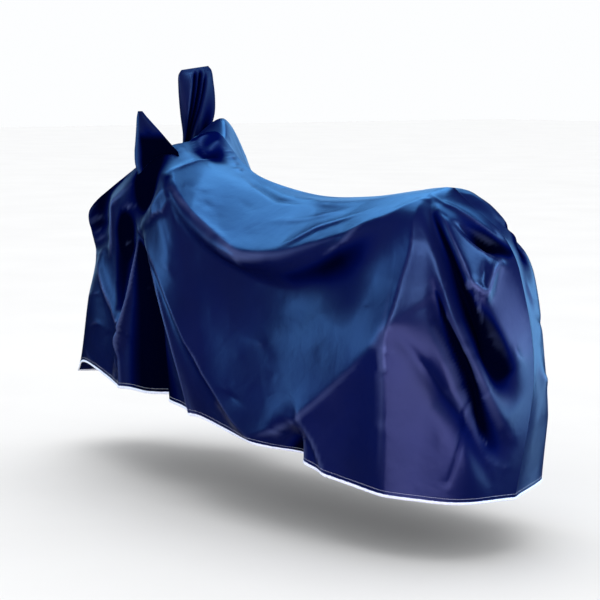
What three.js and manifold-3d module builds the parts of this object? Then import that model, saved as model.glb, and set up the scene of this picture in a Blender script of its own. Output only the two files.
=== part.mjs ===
// A two-panel fitted cloth cover with two standing pockets and a white edged hem, as it hangs.
// Millimetres. X runs from front to tail, Y from left to right and Z up. Table heights are above the ground.

import * as THREE from 'three';
import { mergeVertices } from 'three/addons/utils/BufferGeometryUtils.js';
import Module from 'manifold-3d';

// Driving sizes
const CLOTH = 2.2;          // thickness of the coated cloth as built
const GAP = 0.3;            // clear gap between neighbouring pieces
const ROWS = 24;            // strips down each panel, top seam to hem
const COLUMN_BANDS = [      // strips round each panel, front seam to tail seam
  { upTo: 0.36, columns: 22 },
  { upTo: 0.82, columns: 12 },
  { upTo: 0.98, columns: 22 },
  { upTo: 1.00, columns: 2 },
];
const COLUMNS = COLUMN_BANDS.reduce((sum, band) => sum + band.columns, 0);
const STEPS_PER_SPAN = 4;   // pieces of a fold's path between two named places
const SEAM_REACH = 0.035;   // share of a panel over which its folds die out at the seam
const POCKET_SIDES = 28;    // facets round a pocket
const POCKET_ROWS = 11;     // facets up a pocket
const POCKET_LENS = 1.3;    // above 1 a pocket's section is pinched at its two edges
const POCKET_CUT = 30;      // how far the hole for a pocket reaches below its foot
const EDGING = { thick: 3.4, tall: 7 };
const ORIGIN = new THREE.Vector3(450, -140, 893);   // where the top rests, just under the cloth

// Heights down a section, as shares of the way from the top seam to the hem
const LEVELS = { seam: 0, upper: 0.18, edge: 0.36, tuck: 0.48, belly: 0.72, hem: 1 };

// The seam line along the top, front to tail, shared by both panels
const TOP_SEAM = [
  { at: 0.00, seam: [-470, -20, 1032] },
  { at: 0.07, seam: [-430, -5, 1045] },
  { at: 0.15, seam: [-375, -10, 1048] },
  { at: 0.23, seam: [-310, -30, 1034] },
  { at: 0.31, seam: [-225, -60, 1002] },
  { at: 0.40, seam: [-105, -100, 960] },
  { at: 0.50, seam: [60, -140, 922] },
  { at: 0.60, seam: [300, -140, 890] },
  { at: 0.70, seam: [520, -140, 898] },
  { at: 0.79, seam: [700, -140, 922] },
  { at: 0.86, seam: [790, -140, 934] },
  { at: 0.93, seam: [822, -140, 936] },
  { at: 1.00, seam: [840, -140, 936] },
];

// The seam down the front and down the tail, shared by both panels
const FRONT_SEAM = {
  upper: [-560, -140, 925], edge: [-650, -255, 815], tuck: [-635, -270, 680],
  belly: [-742, -246, 460], hem: [-922, -194, 248],
};
const TAIL_SEAM = {
  upper: [890, -130, 895], edge: [985, -112, 825], tuck: [1025, -92, 735],
  belly: [1042, -55, 480], hem: [975, -45, 155],
};

const LEFT = [
  { at: 0.07, upper: [-470, -215, 935], edge: [-588, -337, 812], tuck: [-578, -322, 682],
    belly: [-622, -328, 520], hem: [-712, -292, 315] },
  { at: 0.15, upper: [-345, -270, 972], edge: [-400, -360, 875], tuck: [-435, -350, 720],
    belly: [-455, -340, 510], hem: [-450, -335, 288] },
  { at: 0.23, upper: [-230, -290, 1010], edge: [-190, -400, 935], tuck: [-215, -395, 790],
    belly: [-210, -385, 560], hem: [-190, -375, 290] },
  { at: 0.31, upper: [-130, -300, 995], edge: [-35, -420, 940], tuck: [-40, -432, 850],
    belly: [0, -420, 560], hem: [40, -412, 290] },
  { at: 0.40, upper: [-30, -270, 935], edge: [75, -412, 835], tuck: [90, -400, 745],
    belly: [130, -400, 520], hem: [180, -395, 258] },
  { at: 0.50, upper: [110, -250, 890], edge: [225, -393, 755], tuck: [240, -352, 675],
    belly: [260, -392, 480], hem: [310, -388, 243] },
  { at: 0.60, upper: [330, -235, 865], edge: [390, -368, 745], tuck: [395, -325, 650],
    belly: [400, -375, 480], hem: [440, -374, 230] },
  { at: 0.70, upper: [530, -230, 880], edge: [545, -338, 785], tuck: [560, -315, 690],
    belly: [580, -360, 500], hem: [580, -358, 200] },
  { at: 0.79, upper: [700, -215, 905], edge: [710, -300, 840], tuck: [735, -300, 745],
    belly: [760, -335, 520], hem: [720, -325, 175] },
  { at: 0.86, upper: [800, -195, 915], edge: [835, -250, 865], tuck: [875, -270, 760],
    belly: [900, -290, 520], hem: [850, -275, 165] },
  { at: 0.93, upper: [845, -180, 905], edge: [925, -220, 840], tuck: [985, -225, 735],
    belly: [1040, -225, 500], hem: [945, -205, 160] },
];

const RIGHT = [
  { at: 0.07, upper: [-560, -60, 960], edge: [-700, -130, 850], tuck: [-760, -150, 690],
    belly: [-830, -120, 470], hem: [-900, -70, 240] },
  { at: 0.15, upper: [-520, 0, 1020], edge: [-640, 20, 930], tuck: [-700, 30, 720],
    belly: [-720, 60, 480], hem: [-740, 90, 240] },
  { at: 0.23, upper: [-440, 66, 1082], edge: [-530, 140, 1005], tuck: [-560, 170, 820],
    belly: [-550, 180, 540], hem: [-540, 190, 240] },
  { at: 0.31, upper: [-300, 30, 955], edge: [-320, 118, 872], tuck: [-330, 160, 740],
    belly: [-330, 185, 500], hem: [-330, 205, 230] },
  { at: 0.40, upper: [-150, -30, 915], edge: [-130, 60, 850], tuck: [-140, 110, 720],
    belly: [-130, 150, 480], hem: [-120, 190, 225] },
  { at: 0.50, upper: [60, -60, 890], edge: [60, 25, 820], tuck: [60, 85, 700],
    belly: [70, 140, 460], hem: [80, 190, 220] },
  { at: 0.60, upper: [300, -70, 860], edge: [295, 10, 790], tuck: [290, 75, 680],
    belly: [300, 140, 450], hem: [300, 195, 215] },
  { at: 0.70, upper: [515, -75, 872], edge: [505, 5, 805], tuck: [500, 75, 690],
    belly: [510, 145, 450], hem: [500, 205, 205] },
  { at: 0.79, upper: [715, -85, 918], edge: [690, -15, 830], tuck: [695, 65, 700],
    belly: [720, 150, 450], hem: [700, 215, 195] },
  { at: 0.86, upper: [830, -90, 925], edge: [850, -30, 860], tuck: [828, 50, 710],
    belly: [845, 130, 450], hem: [815, 180, 198] },
  { at: 0.93, upper: [890, -95, 908], edge: [955, -50, 832], tuck: [978, 5, 720],
    belly: [966, 60, 460], hem: [930, 80, 178] },
];

// Folds of the left panel. Each row is one crest (out above 0) or hollow (out below 0) along a path of
// [round, down] places on the panel. out is its height at each place; before and after are its widths towards
// the front and the tail at the path's start and end; soft is 1 for a crisp line and 2 for a rounded one.
const LEFT_FOLDS = [
  { name: 'front edge',
    path: [[0.208, 0.378], [0.181, 0.388], [0.159, 0.397], [0.158, 0.437], [0.155, 0.48],
      [0.145, 0.523]],
    out: [4, 16, 24, 24, 20, 4], before: [26, 20], after: [22, 18], soft: 1.1 },
  { name: 'front flap',
    path: [[0.085, 0.52], [0.101, 0.55], [0.134, 0.648], [0.172, 0.765]],
    out: [4, 16, 26, 20], before: [12, 14], after: [60, 40], soft: 1.1 },
  { name: 'front skirt',
    path: [[0.176, 0.74], [0.173, 0.85], [0.172, 1]],
    out: [6, 24, 26], before: [60, 70], after: [22, 26], soft: 1.2 },
  { name: 'front pleat',
    path: [[0.225, 0.517], [0.21, 0.625], [0.19, 0.732], [0.176, 0.825], [0.171, 0.87]],
    out: [3, 16, 24, 26, 6], before: [6, 15], after: [6, 15], soft: 2 },
  { name: 'front hollow',
    path: [[0.24, 0.5], [0.25, 0.68], [0.248, 0.8], [0.24, 1]],
    out: [-6, -44, -54, -58], before: [32, 52], after: [27, 52], soft: 2 },
  { name: 'peak crease',
    path: [[0.334, 0.388], [0.292, 0.478], [0.232, 0.495]],
    out: [4, 18, 6], before: [30, 24], after: [60, 30], soft: 1.1 },
  { name: 'first peak fold',
    path: [[0.232, 0.495], [0.263, 0.605], [0.283, 0.7], [0.305, 0.81], [0.32, 0.9], [0.333, 1]],
    out: [4, 16, 24, 27, 28, 28], before: [10, 16], after: [16, 22], soft: 1 },
  { name: 'second peak fold',
    path: [[0.232, 0.495], [0.276, 0.603], [0.308, 0.68], [0.348, 0.78], [0.388, 0.85],
      [0.47, 0.95], [0.53, 1]],
    out: [6, 20, 30, 36, 34, 26, 14], before: [12, 26], after: [60, 130], soft: 1 },
  { name: 'deck edge',
    path: [[0.334, 0.385], [0.389, 0.363], [0.477, 0.357], [0.53, 0.373], [0.593, 0.362],
      [0.661, 0.36], [0.747, 0.362], [0.814, 0.335], [0.874, 0.218]],
    out: [6, 12, 18, 26, 18, 12, 8, 8, 4], before: [34, 30], after: [36, 34], soft: 1.1 },
  { name: 'long slope',
    path: [[0.826, 0.648], [0.77, 0.747], [0.72, 0.817], [0.666, 0.885], [0.598, 0.942],
      [0.521, 0.985]],
    out: [8, 22, 30, 34, 26, 14], before: [110, 90], after: [60, 40], soft: 1.2 },
  { name: 'hem hollow',
    path: [[0.655, 0.9], [0.64, 0.95], [0.63, 1]],
    out: [-8, -42, -54], before: [36, 60], after: [26, 24], soft: 2 },
  { name: 'hollow edge',
    path: [[0.67, 0.885], [0.69, 0.933], [0.71, 1]],
    out: [4, 14, 16], before: [8, 10], after: [60, 80], soft: 1.1 },
  { name: 'knee ridge',
    path: [[0.862, 0.26], [0.85, 0.432], [0.835, 0.542], [0.826, 0.648]],
    out: [4, 22, 34, 42], before: [40, 90], after: [26, 60], soft: 1.2 },
  { name: 'knee to hem',
    path: [[0.826, 0.648], [0.821, 0.7], [0.818, 0.842], [0.821, 1]],
    out: [10, 26, 24, 18], before: [50, 60], after: [60, 90], soft: 1.5 },
  { name: 'knee groove',
    path: [[0.835, 0.672], [0.857, 0.732], [0.879, 0.792], [0.906, 0.833], [0.932, 0.882],
      [0.952, 0.922], [0.98, 0.977]],
    out: [-8, -16, -20, -20, -16, -12, -4], before: [22, 26], after: [22, 26], soft: 1.6 },
  { name: 'tail valley two',
    path: [[0.873, 0.535], [0.879, 0.617], [0.896, 0.69], [0.912, 0.75], [0.934, 0.808],
      [0.962, 0.878], [1, 0.935]],
    out: [-4, -24, -38, -44, -42, -24, 0], before: [14, 34], after: [14, 30], soft: 2.2 },
  { name: 'tail valley one',
    path: [[0.871, 0.222], [0.893, 0.413], [0.906, 0.502], [0.919, 0.583], [0.936, 0.663],
      [0.959, 0.73], [0.984, 0.78]],
    out: [-2, -18, -36, -46, -46, -30, 0], before: [12, 42], after: [12, 38], soft: 2.2 },
  { name: 'flap ridge',
    path: [[0.892, 0.24], [0.916, 0.348], [0.924, 0.45], [0.929, 0.51]],
    out: [2, 16, 24, 26], before: [12, 14], after: [30, 40], soft: 1.1 },
  { name: 'flap foot',
    path: [[0.926, 0.505], [0.945, 0.528], [0.963, 0.472], [0.985, 0.438]],
    out: [14, 20, 14, 6], before: [12, 12], after: [12, 12], soft: 1.1 },
  { name: 'seam hollow',
    path: [[0.936, 0.34], [0.956, 0.38], [0.972, 0.41], [0.986, 0.43]],
    out: [-3, -24, -34, -20], before: [10, 16], after: [10, 16], soft: 2 },
  { name: 'hem pucker one',
    path: [[0.965, 0.892], [0.985, 0.915], [0.998, 0.93]],
    out: [0, 8, 3], before: [10, 10], after: [10, 10], soft: 1.3 },
  { name: 'hem pucker two',
    path: [[0.958, 0.93], [0.972, 0.96], [0.982, 0.985]],
    out: [0, 8, 3], before: [10, 10], after: [10, 10], soft: 1.3 },
  { name: 'seam ridge',
    path: [[0.876, 0.182], [0.947, 0.248], [0.969, 0.327], [0.99, 0.373], [1, 0.402]],
    out: [2, 10, 15, 16, 8], before: [8, 10], after: [16, 22], soft: 1.1 },
];

// The pockets stand over a foot point. Each row is one height: the left and right edges across it and its
// thickness. turn is the way the bag's width points, round from the X axis, and tilt is how steeply its top
// rises across. Each fold is a dent up the near face: where it lies across at the foot, half way and the top,
// from edge to edge as -1 to 1, its depth as a share of the half thickness, its width on that same scale, and
// the share of the height below the top over which it dies out.
const POCKETS = [
  {
    name: 'pocket_left',
    panel: 'panel_left',
    foot: [-176, -362, 922],
    turn: 26,
    tilt: 0,
    rows: [
      { up: 0, left: -56, right: 66, thick: 36 },
      { up: 40, left: -71, right: 72, thick: 42 },
      { up: 76, left: -73, right: 74, thick: 40 },
      { up: 98, left: -71, right: 52, thick: 34 },
      { up: 138, left: -67, right: 12, thick: 26 },
      { up: 176, left: -64, right: -28, thick: 16 },
      { up: 194, left: -60, right: -45, thick: 8 },
    ],
    folds: [
      { name: 'soft dent', foot: 0.1, middle: 0.12, top: 0.1, deep: 0.5, wide: 0.62, fade: 0.55 },
    ],
  },
  {
    name: 'pocket_right',
    panel: 'panel_right',
    foot: [-562, 42, 985],
    turn: 90,
    tilt: 0.13,
    rows: [
      { up: 0, left: -52, right: 50, thick: 40 },
      { up: 50, left: -50, right: 54, thick: 38 },
      { up: 110, left: -58, right: 74, thick: 46 },
      { up: 160, left: -63, right: 76, thick: 46 },
      { up: 210, left: -66, right: 70, thick: 38 },
      { up: 245, left: -65, right: 63, thick: 24 },
      { up: 260, left: -54, right: 50, thick: 9 },
    ],
    folds: [
      { name: 'first dent', foot: -0.92, middle: -0.5, top: -0.05, deep: 0.5, wide: 0.12, fade: 0.1 },
      { name: 'second dent', foot: -0.86, middle: -0.3, top: 0.28, deep: 0.6, wide: 0.12, fade: 0.1 },
      { name: 'third dent', foot: -0.78, middle: -0.08, top: 0.62, deep: 0.45, wide: 0.11, fade: 0.2 },
      { name: 'corner dent', foot: 0.45, middle: 0.5, top: 0.9, deep: 0.5, wide: 0.5, fade: 0.95 },
    ],
  },
];

const RIGHT_FOLDS = [
  { name: 'peak ridge',
    path: [[0.24, 0.2], [0.25, 0.36], [0.25, 0.6], [0.24, 1]],
    out: [4, 16, 22, 26], before: [60, 110], after: [60, 110], soft: 1.4 },
  { name: 'front fold',
    path: [[0.14, 0.3], [0.13, 0.6], [0.12, 1]],
    out: [2, 20, 34], before: [40, 60], after: [40, 60], soft: 1.5 },
  { name: 'front valley',
    path: [[0.19, 0.4], [0.185, 0.7], [0.18, 1]],
    out: [-2, -26, -44], before: [40, 60], after: [40, 60], soft: 1.8 },
  { name: 'side valley',
    path: [[0.3, 0.4], [0.335, 0.7], [0.35, 1]],
    out: [-2, -26, -44], before: [50, 70], after: [50, 70], soft: 1.8 },
  { name: 'side slope',
    path: [[0.27, 0.42], [0.36, 0.62], [0.44, 0.82], [0.5, 1]],
    out: [4, 18, 24, 22], before: [40, 60], after: [60, 90], soft: 1.3 },
  { name: 'back slope',
    path: [[0.84, 0.34], [0.77, 0.56], [0.68, 0.8], [0.62, 1]],
    out: [4, 20, 28, 24], before: [60, 90], after: [50, 60], soft: 1.3 },
  { name: 'tail fold one',
    path: [[0.86, 0.3], [0.855, 0.55], [0.85, 0.8], [0.845, 1]],
    out: [2, 18, 26, 26], before: [30, 50], after: [40, 60], soft: 1.3 },
  { name: 'tail valley',
    path: [[0.87, 0.3], [0.885, 0.55], [0.89, 0.8], [0.89, 1]],
    out: [-2, -20, -30, -30], before: [26, 40], after: [26, 40], soft: 1.7 },
  { name: 'tail crest',
    path: [[0.999, 0.66], [0.967, 0.74], [0.94, 0.83], [0.93, 1]],
    out: [6, 16, 16, 12], before: [40, 50], after: [30, 50], soft: 1.2 },
];

// A smooth curve through points at uneven knots
function curveThrough(knots, points, t) {
  const last = knots.length - 1;
  let i = 0;
  while (i < last - 1 && t > knots[i + 1]) i += 1;
  const slope = (k) => {
    const before = Math.max(k - 1, 0);
    const after = Math.min(k + 1, last);
    return points[after].clone().sub(points[before]).divideScalar(knots[after] - knots[before]);
  };
  const span = knots[i + 1] - knots[i];
  const s = (t - knots[i]) / span;
  const s2 = s * s;
  const s3 = s2 * s;
  return points[i].clone().multiplyScalar(2 * s3 - 3 * s2 + 1)
    .addScaledVector(slope(i), (s3 - 2 * s2 + s) * span)
    .addScaledVector(points[i + 1], 3 * s2 - 2 * s3)
    .addScaledVector(slope(i + 1), (s3 - s2) * span);
}

// Sections of one side with the shared seams at both ends
function sectionsOf(side) {
  const rows = [FRONT_SEAM, ...side, TAIL_SEAM];
  return TOP_SEAM.map((top, i) => ({ ...rows[i], ...top }));
}

function sectionAt(sections, round) {
  const knots = sections.map((row) => row.at);
  return Object.keys(LEVELS).map((level) => {
    const across = sections.map((row) => new THREE.Vector3(...row[level]));
    return curveThrough(knots, across, round);
  });
}

function basePoint(sections, round, down) {
  return curveThrough(Object.values(LEVELS), sectionAt(sections, round), down);
}

// How far round the panel a column lies: the strips are finer at the front folds and the tail folds
function roundAt(column) {
  let done = 0;
  let from = 0;
  for (const { upTo, columns } of COLUMN_BANDS) {
    if (column <= done + columns) return from + (upTo - from) * (column - done) / columns;
    done += columns;
    from = upTo;
  }
  return 1;
}

// A fold's path on the unfolded surface, in short steps that carry its height and widths
function foldSteps(surface, fold) {
  const spans = fold.path.length - 1;
  const count = spans * STEPS_PER_SPAN;
  return Array.from({ length: count + 1 }, (unused, k) => {
    const along = k / STEPS_PER_SPAN;
    const i = Math.min(Math.floor(along), spans - 1);
    const s = along - i;
    const mix = (a, b, t) => a + (b - a) * t;
    const place = [0, 1].map((axis) => mix(fold.path[i][axis], fold.path[i + 1][axis], s));
    return {
      point: surface(...place),
      out: mix(fold.out[i], fold.out[i + 1], s),
      before: mix(...fold.before, k / count),
      after: mix(...fold.after, k / count),
    };
  });
}

// How far a fold lifts a point: widths differ on the two sides of its path
function foldLift(fold, steps, point, normal, outward) {
  let best = { distance: Infinity };
  const line = new THREE.Line3();
  const near = new THREE.Vector3();
  for (let k = 0; k < steps.length - 1; k += 1) {
    line.set(steps[k].point, steps[k + 1].point);
    const share = line.closestPointToPointParameter(point, true);
    line.at(share, near);
    const distance = near.distanceTo(point);
    if (distance < best.distance) {
      const side = line.delta(new THREE.Vector3()).cross(point.clone().sub(near)).dot(normal);
      best = { distance, side, from: steps[k], to: steps[k + 1], share };
    }
  }
  const mix = (key) => best.from[key] + (best.to[key] - best.from[key]) * best.share;
  const wide = best.side * outward < 0 ? mix('after') : mix('before');
  return mix('out') * Math.exp(-((best.distance / wide) ** fold.soft));
}

// Folds die out at the seams, which pull the cloth flat
function seamHold(round, down) {
  const rise = (t) => THREE.MathUtils.smoothstep(t, 0, SEAM_REACH);
  return rise(down) * rise(round) * rise(1 - round);
}

// One grid of points over a panel, front to tail and top to hem, with its folds
function panelGrid(side, folds, outward) {
  const sections = sectionsOf(side);
  const base = [];
  const places = [];
  for (let i = 0; i <= COLUMNS; i += 1) {
    const section = sectionAt(sections, roundAt(i));
    places.push([]);
    base.push([]);
    for (let j = 0; j <= ROWS; j += 1) {
      base[i].push(curveThrough(Object.values(LEVELS), section, j / ROWS));
      places[i].push([roundAt(i), j / ROWS]);
    }
  }
  const normals = gridNormals(base, outward);
  const surface = (round, down) => basePoint(sections, round, down);
  const paths = folds.map((fold) => foldSteps(surface, fold));
  const lifts = base.map((column, i) => column.map((point, j) => {
    let lift = 0;
    folds.forEach((fold, k) => { lift += foldLift(fold, paths[k], point, normals[i][j], outward); });
    return lift * seamHold(...places[i][j]);
  }));
  const points = base.map((column, i) => column.map((point, j) => (
    point.clone().addScaledVector(normals[i][j], lifts[i][j])
  )));
  return { points, lifts };
}

// Unit normals of a grid, pointing out of the cover
function gridNormals(grid, outward) {
  return grid.map((column, i) => column.map((point, j) => {
    const along = grid[Math.min(i + 1, COLUMNS)][j].clone().sub(grid[Math.max(i - 1, 0)][j]);
    const down = column[Math.min(j + 1, ROWS)].clone().sub(column[Math.max(j - 1, 0)]);
    return along.cross(down).multiplyScalar(outward).normalize();
  }));
}

// A closed sheet between an outer grid and an inner one. Each cell is split along its fold: by the two
// corners that the folds lift alike.
function sheetGeometry({ outer, inner, lifts, outward }) {
  const positions = [];
  const index = [];
  const width = ROWS + 1;
  const count = (COLUMNS + 1) * width;
  for (const grid of [outer, inner]) {
    for (const column of grid) for (const point of column) positions.push(point.x, point.y, point.z);
  }
  const quad = (a, b, c, d) => {
    if (outward > 0) index.push(a, b, c, a, c, d);
    else index.push(a, c, b, a, d, c);
  };
  const id = (i, j) => i * width + j;
  const cell = (i, j) => {
    const corners = [[i, j], [i + 1, j], [i + 1, j + 1], [i, j + 1]];
    const lift = corners.map(([column, row]) => lifts[column][row]);
    if (Math.abs(lift[0] - lift[2]) > Math.abs(lift[1] - lift[3])) corners.push(corners.shift());
    const [a, b, c, d] = corners.map((corner) => id(...corner));
    quad(a, b, c, d);
    quad(count + a, count + d, count + c, count + b);
  };
  for (let i = 0; i < COLUMNS; i += 1) {
    for (let j = 0; j < ROWS; j += 1) cell(i, j);
    quad(id(i, 0), count + id(i, 0), count + id(i + 1, 0), id(i + 1, 0));
    const hem = [id(i, ROWS), id(i + 1, ROWS), count + id(i + 1, ROWS), count + id(i, ROWS)];
    if (outward < 0) hem.push(hem.shift());
    quad(...hem);
  }
  for (let j = 0; j < ROWS; j += 1) {
    quad(id(0, j), id(0, j + 1), count + id(0, j + 1), count + id(0, j));
    quad(id(COLUMNS, j), count + id(COLUMNS, j), count + id(COLUMNS, j + 1), id(COLUMNS, j + 1));
  }
  const geometry = new THREE.BufferGeometry();
  geometry.setAttribute('position', new THREE.Float32BufferAttribute(positions, 3));
  geometry.setIndex(index);
  return geometry;
}

// A closed body through a list of like rings, with flat ends, or joined up into a loop. Its facets are split
// the other way before one span, so that both faces of a thin wall are split alike.
function ringBody(rings, loop, turnedUpTo = 0) {
  const sides = rings[0].length;
  const positions = rings.flat().flatMap((point) => [point.x, point.y, point.z]);
  const index = [];
  const spans = loop ? rings.length : rings.length - 1;
  for (let r = 0; r < spans; r += 1) {
    const here = r * sides;
    const next = ((r + 1) % rings.length) * sides;
    for (let k = 0; k < sides; k += 1) {
      const after = (k + 1) % sides;
      if (r < turnedUpTo) index.push(here + k, here + after, next + k, here + after, next + after, next + k);
      else index.push(here + k, here + after, next + after, here + k, next + after, next + k);
    }
  }
  const last = (rings.length - 1) * sides;
  for (let k = 1; k < sides - 1 && !loop; k += 1) {
    index.push(0, k + 1, k);
    index.push(last, last + k, last + k + 1);
  }
  const geometry = new THREE.BufferGeometry();
  geometry.setAttribute('position', new THREE.Float32BufferAttribute(positions, 3));
  geometry.setIndex(index);
  return geometry;
}

// How deep the near face of a pocket is dented at one place, as a share of the half thickness
function pocketDent(pocket, up, across) {
  const height = pocket.rows[pocket.rows.length - 1].up;
  const knots = [0, height / 2, height];
  return pocket.folds.reduce((deepest, fold) => {
    const lines = [fold.foot, fold.middle, fold.top].map((place) => new THREE.Vector3(place, 0, 0));
    const line = curveThrough(knots, lines, Math.max(up, 0)).x;
    const deep = fold.deep * THREE.MathUtils.smoothstep(height - up, 0, height * fold.fade);
    return Math.max(deepest, deep * Math.exp(-(((across - line) / fold.wide) ** 2)));
  }, 0);
}

// One ring of a pocket, grown by a margin: a flat lens from its left edge to its right edge
function pocketRing(pocket, up, grow) {
  const knots = pocket.rows.map((row) => row.up);
  const sizes = pocket.rows.map((row) => new THREE.Vector3(row.left, row.right, row.thick));
  const size = curveThrough(knots, sizes, Math.max(up, 0));
  const halfWidth = (size.y - size.x) / 2 + grow;
  const halfThick = size.z / 2 + grow;
  const turn = THREE.MathUtils.degToRad(pocket.turn);
  const rise = pocket.tilt * Math.max(up, 0) / knots[knots.length - 1];
  const across = new THREE.Vector3(Math.cos(turn), Math.sin(turn), rise);
  const through = new THREE.Vector3(-Math.sin(turn), Math.cos(turn), 0);
  return Array.from({ length: POCKET_SIDES }, (unused, k) => {
    const angle = 2 * Math.PI * k / POCKET_SIDES;
    const bulge = Math.sign(Math.sin(angle)) * Math.abs(Math.sin(angle)) ** POCKET_LENS;
    const dent = bulge < 0 ? pocketDent(pocket, up, Math.cos(angle)) : 0;
    return new THREE.Vector3(...pocket.foot)
      .addScaledVector(across, (size.x + size.y) / 2 + halfWidth * Math.cos(angle))
      .addScaledVector(through, (halfThick - dent * size.z / 2) * bulge)
      .add(new THREE.Vector3(0, 0, up));
  });
}

// Heights of a pocket's rings, up to some top
function pocketUps(top) {
  return Array.from({ length: POCKET_ROWS + 1 }, (unused, k) => top * k / POCKET_ROWS);
}

// A pocket is a bag open below: its wall runs down the inside, round the foot and up the outside
function pocketBag(pocket) {
  const height = pocket.rows[pocket.rows.length - 1].up;
  const inside = pocketUps(height - CLOTH).map((up) => pocketRing(pocket, up, -CLOTH)).reverse();
  const outside = pocketUps(height).map((up) => pocketRing(pocket, up, 0));
  return ringBody([...inside, ...outside], false, POCKET_ROWS);
}

// The room that a pocket needs in its panel
function pocketRoom(pocket) {
  const height = pocket.rows[pocket.rows.length - 1].up;
  return ringBody([-POCKET_CUT, ...pocketUps(height)].map((up) => pocketRing(pocket, up, GAP)), false);
}

// The hem line round both panels: points, outward normals and the way down the cloth
function hemStations(left, right) {
  const at = (sheet, i) => ({
    point: sheet.outer[i][ROWS].clone().add(sheet.inner[i][ROWS]).multiplyScalar(0.5),
    normal: sheet.normals[i][ROWS].clone(),
    down: sheet.outer[i][ROWS].clone().sub(sheet.outer[i][ROWS - 1]).normalize(),
  });
  const between = (a, b) => ({
    point: a.point.clone().add(b.point).multiplyScalar(0.5),
    normal: a.normal.clone().add(b.normal).normalize(),
    down: a.down.clone().add(b.down).normalize(),
  });
  const stations = [between(at(left, 0), at(right, 0))];
  for (let i = 1; i < COLUMNS; i += 1) stations.push(at(left, i));
  stations.push(between(at(left, COLUMNS), at(right, COLUMNS)));
  for (let i = COLUMNS - 1; i > 0; i -= 1) stations.push(at(right, i));
  return stations;
}

// The edging is a narrow band under the whole hem, in one loop
function hemEdging(left, right) {
  const rings = hemStations(left, right).map(({ point, normal, down }) => {
    const corner = (out, below) => point.clone()
      .addScaledVector(normal, out * EDGING.thick / 2)
      .addScaledVector(down, below);
    return [
      corner(1, GAP),
      corner(1, GAP + EDGING.tall),
      corner(-1, GAP + EDGING.tall),
      corner(-1, GAP),
    ];
  });
  return ringBody(rings, true);
}

// A manifold-3d solid of a closed geometry, and back again
function solidOf(geometry) {
  const merged = mergeVertices(geometry);
  return new wasm.Manifold(new wasm.Mesh({
    numProp: 3,
    vertProperties: merged.attributes.position.array,
    triVerts: new Uint32Array(merged.index.array),
  }));
}

function geometryOf(solid) {
  const mesh = solid.getMesh();
  const geometry = new THREE.BufferGeometry();
  geometry.setAttribute('position', new THREE.Float32BufferAttribute(mesh.vertProperties, 3));
  geometry.setIndex(new THREE.Uint32BufferAttribute(mesh.triVerts, 1));
  return geometry;
}

// The outer and inner faces of a panel
function panelSheet(side, folds, outward) {
  const { points, lifts } = panelGrid(side, folds, outward);
  return { outer: points, lifts, outward, normals: gridNormals(points, outward) };
}

// Both panels share their seam: a common normal there, and half the gap on each side of it. Where the top
// seam turns down, the two panels face opposite ways, so the normal is taken from the next column.
function joinAtSeam(left, right) {
  const seam = [];
  for (let i = 0; i <= COLUMNS; i += 1) seam.push([i, 0]);
  for (let j = 1; j <= ROWS; j += 1) seam.push([0, j], [COLUMNS, j]);
  const cornerNormals = [[0, 1], [COLUMNS, COLUMNS - 1]].map(([corner, beside]) => (
    [corner, left.normals[beside][0].clone().add(right.normals[beside][0]).normalize()]
  ));
  for (const [i, j] of seam) {
    const normal = left.normals[i][j].clone().add(right.normals[i][j]).normalize();
    left.normals[i][j] = normal;
    right.normals[i][j] = normal.clone();
  }
  for (const [corner, normal] of cornerNormals) {
    left.normals[corner][0].copy(normal);
    right.normals[corner][0].copy(normal);
  }
  for (const sheet of [left, right]) {
    for (const [i, j] of seam) sheet.outer[i][j].y += sheet.outward * GAP / 2;
    sheet.inner = sheet.outer.map((column, i) => column.map((point, j) => (
      point.clone().addScaledVector(sheet.normals[i][j], -CLOTH)
    )));
  }
}

const wasm = await Module();
wasm.setup();

const cloth = new THREE.MeshStandardMaterial({ color: 0x14205c, roughness: 0.35, metalness: 0 });
const thread = new THREE.MeshStandardMaterial({ color: 0xe8e8ee, roughness: 0.85, metalness: 0 });

const group = new THREE.Group();
group.position.copy(ORIGIN).negate();

function add(name, geometry, material) {
  const mesh = new THREE.Mesh(geometry, material);
  mesh.name = name;
  group.add(mesh);
}

const left = panelSheet(LEFT, LEFT_FOLDS, -1);
const right = panelSheet(RIGHT, RIGHT_FOLDS, 1);
joinAtSeam(left, right);
for (const [name, sheet] of [['panel_left', left], ['panel_right', right]]) {
  let solid = solidOf(sheetGeometry(sheet));
  for (const pocket of POCKETS.filter((one) => one.panel === name)) {
    solid = solid.subtract(solidOf(pocketRoom(pocket)));
  }
  add(name, geometryOf(solid), cloth);
}
for (const pocket of POCKETS) add(pocket.name, pocketBag(pocket), cloth);
add('hem_edging', hemEdging(left, right), thread);

export default group;
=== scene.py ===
import math

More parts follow.
